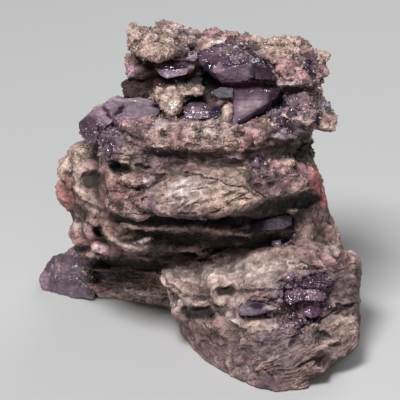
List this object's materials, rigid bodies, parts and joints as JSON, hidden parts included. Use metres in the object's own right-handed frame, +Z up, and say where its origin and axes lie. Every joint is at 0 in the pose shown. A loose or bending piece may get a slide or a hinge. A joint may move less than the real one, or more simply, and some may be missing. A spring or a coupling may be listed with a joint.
{
  "type": "fluorite specimen",
  "caption": "Natural mineral specimen: purple fluorite crystals grown in the hollows of a layered, sugar-coated tan rock that stands on a flat cut base.",
  "frame": {"origin": "point of the flat cut base under the middle of the specimen's weight", "axes": "+Z up, square to the flat cut base; the broken crystal front faces -Y; +X to the right seen from the front"},
  "size_m": [0.102, 0.0918, 0.0911],
  "materials": {
    "rock": "rough sugary quartz and broken rock, tan to pink",
    "fluorite": "clear purple crystal with cleavage faces, vitreous",
    "fluorite_pale": "pale lilac to grey crystal, vitreous"
  },
  "bodies": {
    "root": {"matrix": "rock", "crystal_top_center": "fluorite", "crystal_top_left": "fluorite", "crystal_left_shelf": "fluorite_pale", "crystal_mid": "fluorite", "crystal_right_shelf": "fluorite", "crystal_recess": "fluorite", "crystal_pocket_upper": "fluorite", "crystal_pocket_middle": "fluorite", "crystal_pocket_lower": "fluorite", "crystal_lower_lump": "fluorite", "fluorite_foot": "fluorite_pale"}
  },
  "joints": []
}
